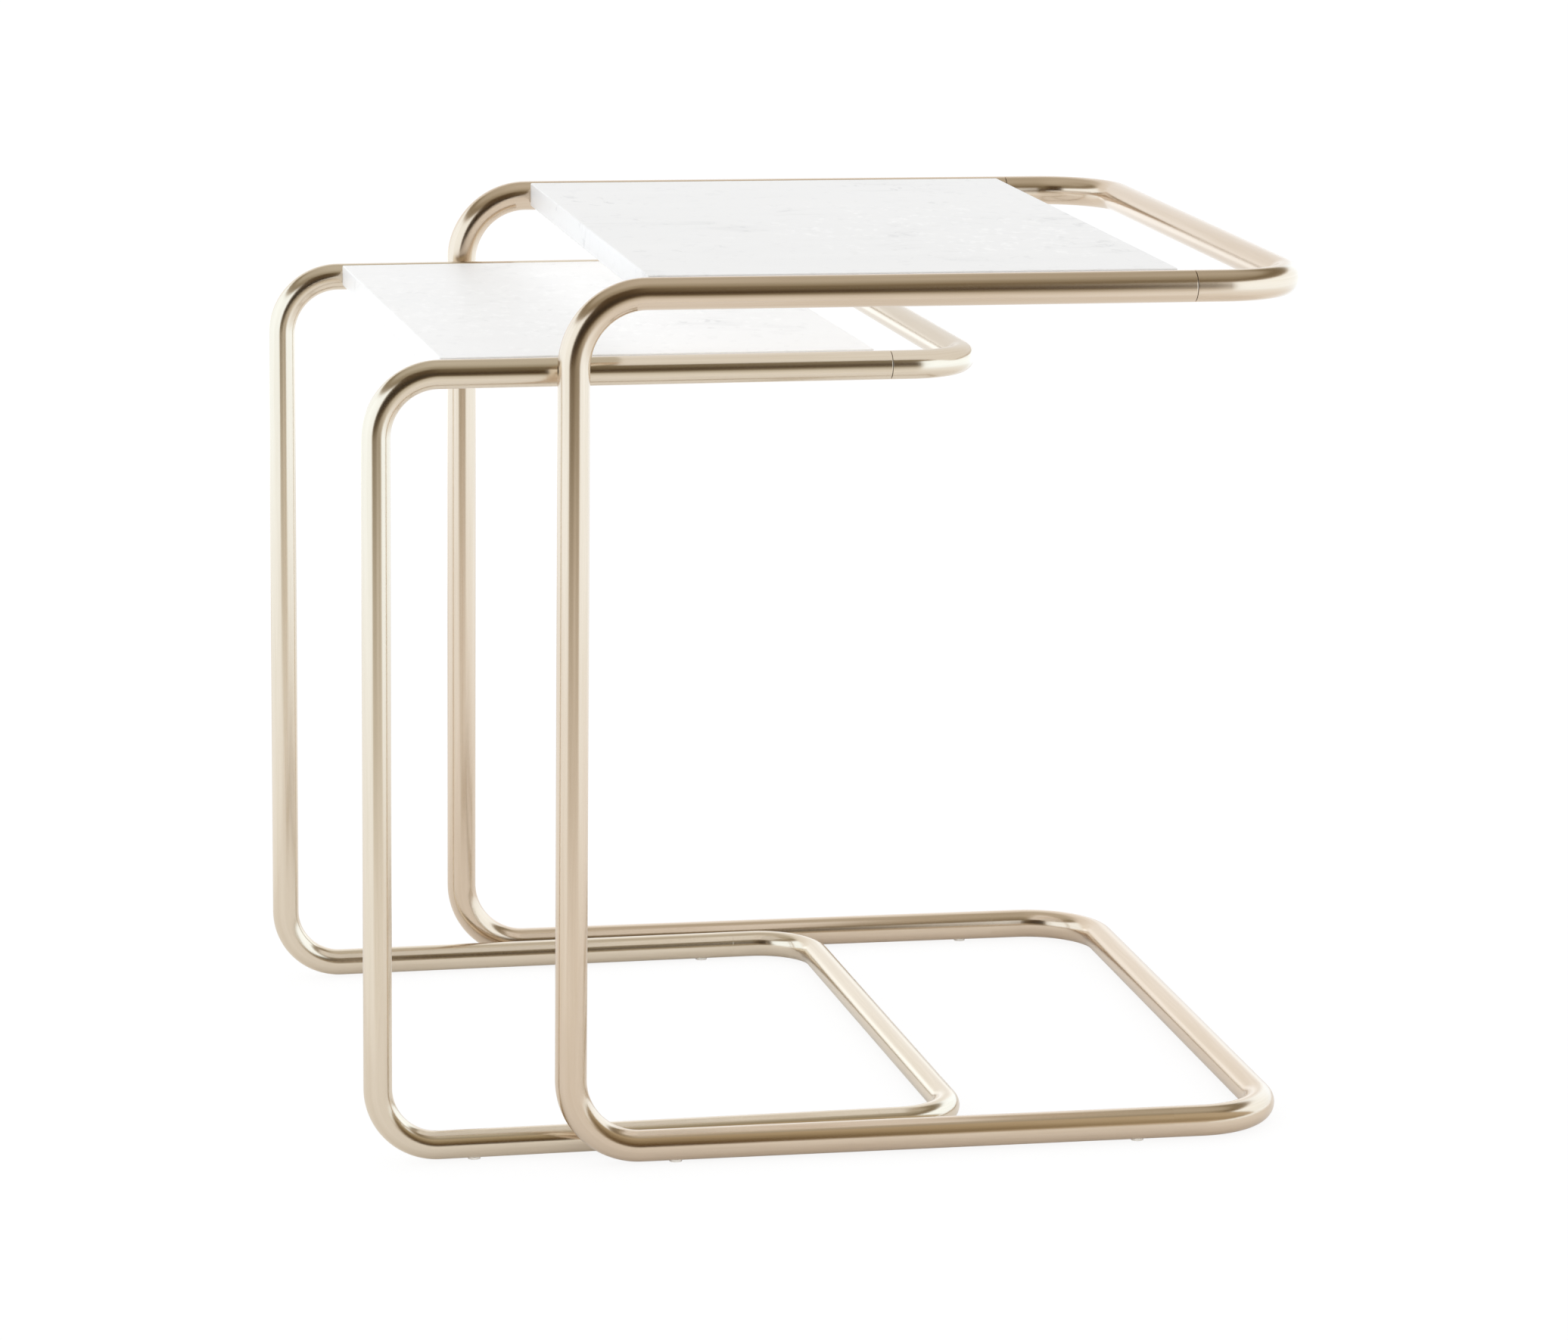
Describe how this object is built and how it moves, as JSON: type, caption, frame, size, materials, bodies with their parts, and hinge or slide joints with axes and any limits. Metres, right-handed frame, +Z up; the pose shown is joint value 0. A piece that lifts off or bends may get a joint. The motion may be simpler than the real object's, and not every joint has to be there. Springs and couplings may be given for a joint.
{
  "type": "nesting tables",
  "caption": "Set of nesting side tables with bent champagne metal tube frames and white veined stone tops; the small table slides in under the large one.",
  "frame": {"origin": "on the floor, at the middle of the pair's outline at rest", "axes": "+Z up; +X along the rails from the legs to the open side, the way the small table slides in; +Y away from the picture's viewer"},
  "size_m": [0.6084, 0.527, 0.56],
  "materials": {
    "large_frame_metal": "satin champagne plating on steel tube",
    "small_frame_metal": "satin champagne plating on steel tube",
    "large_marble": "honed, faint grey veins",
    "small_marble": "honed, faint grey veins",
    "bare_steel": "turned, bare",
    "screw_steel": "black oxide",
    "clear_silicone": "clear, matt",
    "glide_nylon": "moulded, milky, satin"
  },
  "bodies": {
    "large_table": {"large_near_side_tube": "large_frame_metal", "large_far_side_tube": "large_frame_metal", "large_base_bow": "large_frame_metal", "large_top_bow": "large_frame_metal", "large_near_bow_spigot": "bare_steel", "large_near_weld_sleeve": "bare_steel", "large_near_left_slab_tab": "large_frame_metal", "large_near_left_slab_pad": "clear_silicone", "large_near_left_glide": "glide_nylon", "large_near_right_slab_tab": "large_frame_metal", "large_near_right_slab_pad": "clear_silicone", "large_near_right_glide": "glide_nylon", "large_far_bow_spigot": "bare_steel", "large_far_weld_sleeve": "bare_steel", "large_far_left_slab_tab": "large_frame_metal", "large_far_left_slab_pad": "clear_silicone", "large_far_left_glide": "glide_nylon", "large_far_right_slab_tab": "large_frame_metal", "large_far_right_slab_pad": "clear_silicone", "large_far_right_glide": "glide_nylon", "large_bow_set_screws": "screw_steel", "large_stone_slab": "large_marble"},
    "small_table": {"small_near_side_tube": "small_frame_metal", "small_far_side_tube": "small_frame_metal", "small_base_bow": "small_frame_metal", "small_top_bow": "small_frame_metal", "small_near_bow_spigot": "bare_steel", "small_near_weld_sleeve": "bare_steel", "small_near_left_slab_tab": "small_frame_metal", "small_near_left_slab_pad": "clear_silicone", "small_near_left_glide": "glide_nylon", "small_near_right_slab_tab": "small_frame_metal", "small_near_right_slab_pad": "clear_silicone", "small_near_right_glide": "glide_nylon", "small_far_bow_spigot": "bare_steel", "small_far_weld_sleeve": "bare_steel", "small_far_left_slab_tab": "small_frame_metal", "small_far_left_slab_pad": "clear_silicone", "small_far_left_glide": "glide_nylon", "small_far_right_slab_tab": "small_frame_metal", "small_far_right_slab_pad": "clear_silicone", "small_far_right_glide": "glide_nylon", "small_bow_set_screws": "screw_steel", "small_stone_slab": "small_marble"}
  },
  "joints": [
    {"name": "small_table_slide", "type": "slide", "parent": "large_table", "child": "small_table", "axis": [1, 0, 0], "range_m": [-0.3, 0.175]}
  ]
}
